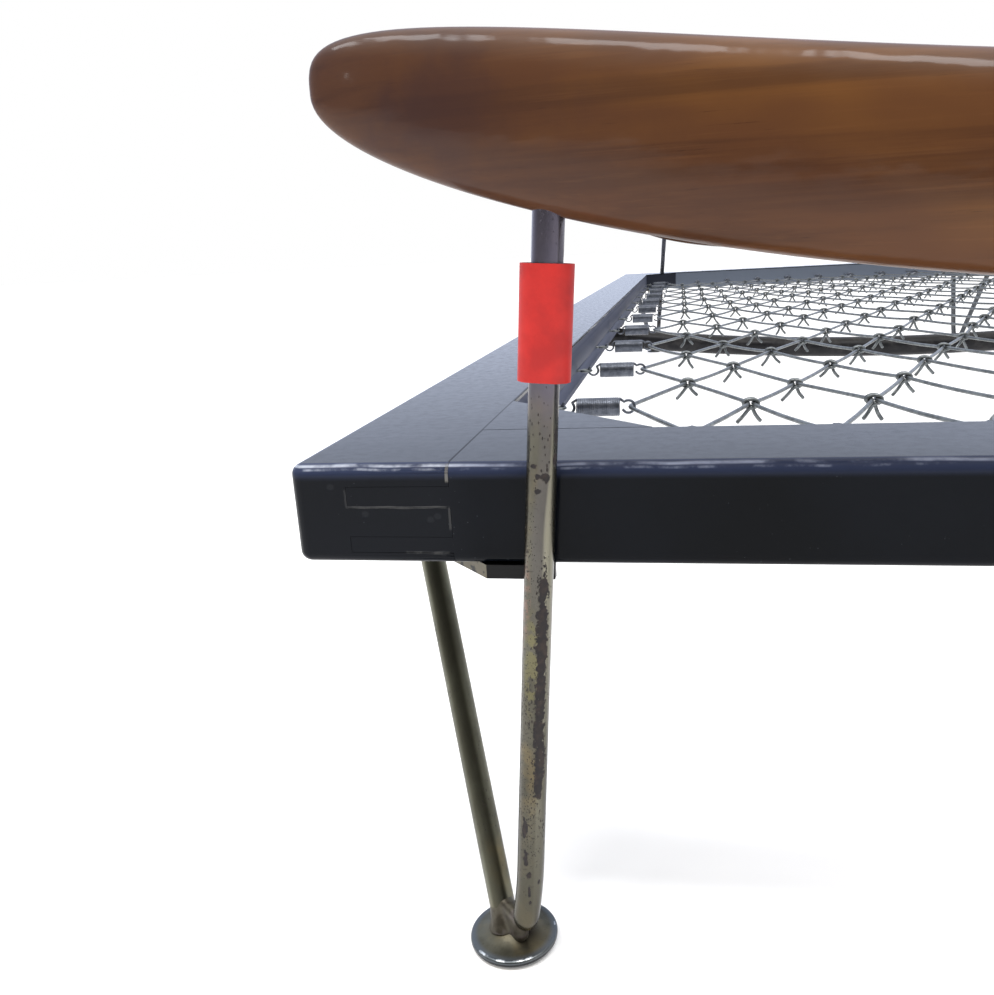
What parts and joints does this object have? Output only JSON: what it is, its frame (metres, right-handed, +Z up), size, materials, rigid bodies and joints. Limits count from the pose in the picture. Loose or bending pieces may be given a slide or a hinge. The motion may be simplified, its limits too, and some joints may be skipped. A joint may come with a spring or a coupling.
{
  "type": "wire net daybed",
  "caption": "Low daybed: a painted timber frame with a hooked wire spring net, splayed steel rod legs and a bowed wooden board above each end.",
  "frame": {"origin": "on the floor, under the middle of the bed (centre of the bounding box in plan, at the feet's undersides)", "axes": "+Y along the bed from the head end (the near end in the picture) to the foot end; +X to the right seen from the head end; +Z up"},
  "size_m": [0.85, 2.023, 0.3239],
  "materials": {
    "side_rail_paint": "glossy blue-black paint over timber",
    "end_rail_paint": "glossy blue-black paint over timber",
    "corner_block_paint": "glossy blue-black paint over timber",
    "leg_plate_steel": "worn dark paint on steel",
    "long_rod_steel": "worn plated steel, pitted and rusted",
    "short_rod_steel": "worn plated steel, pitted and rusted",
    "foot_disc_steel": "worn dark olive plating with a bright rim",
    "weld_steel": "worn dark paint on steel",
    "screw_steel": "dull zinc",
    "board_varnish": "glossy brown varnish",
    "cross_tube_paint": "worn dark paint on steel",
    "net_zinc": "dull zinc",
    "clip_zinc": "dull zinc",
    "spring_zinc": "dull zinc",
    "hook_zinc": "dull zinc",
    "sleeve_red": "matt red tape"
  },
  "bodies": {
    "root": {"side_rail_left": "side_rail_paint", "side_rail_right": "side_rail_paint", "end_rail_head": "end_rail_paint", "end_rail_foot": "end_rail_paint", "corner_block_head_left": "corner_block_paint", "corner_block_head_right": "corner_block_paint", "corner_block_foot_left": "corner_block_paint", "corner_block_foot_right": "corner_block_paint", "leg_plate_head_left": "leg_plate_steel", "leg_plate_head_right": "leg_plate_steel", "leg_plate_foot_left": "leg_plate_steel", "leg_plate_foot_right": "leg_plate_steel", "long_rod_head_left": "long_rod_steel", "long_rod_head_right": "long_rod_steel", "long_rod_foot_left": "long_rod_steel", "long_rod_foot_right": "long_rod_steel", "short_rod_head_left": "short_rod_steel", "short_rod_head_right": "short_rod_steel", "short_rod_foot_left": "short_rod_steel", "short_rod_foot_right": "short_rod_steel", "foot_disc_head_left": "foot_disc_steel", "foot_disc_head_right": "foot_disc_steel", "foot_disc_foot_left": "foot_disc_steel", "foot_disc_foot_right": "foot_disc_steel", "leg_welds": "weld_steel", "leg_screws": "screw_steel", "headboard": "board_varnish", "footboard": "board_varnish", "cross_tube": "cross_tube_paint", "tube_feet": "cross_tube_paint", "tube_screws": "screw_steel", "net_wire": "net_zinc", "net_clips": "clip_zinc", "springs_left_wound": "spring_zinc", "springs_left": "spring_zinc", "springs_right": "spring_zinc", "springs_head": "spring_zinc", "springs_foot": "spring_zinc", "hooks_left": "hook_zinc", "hooks_right": "hook_zinc", "hooks_head": "hook_zinc", "hooks_foot": "hook_zinc", "marker_sleeve": "sleeve_red"}
  },
  "joints": []
}
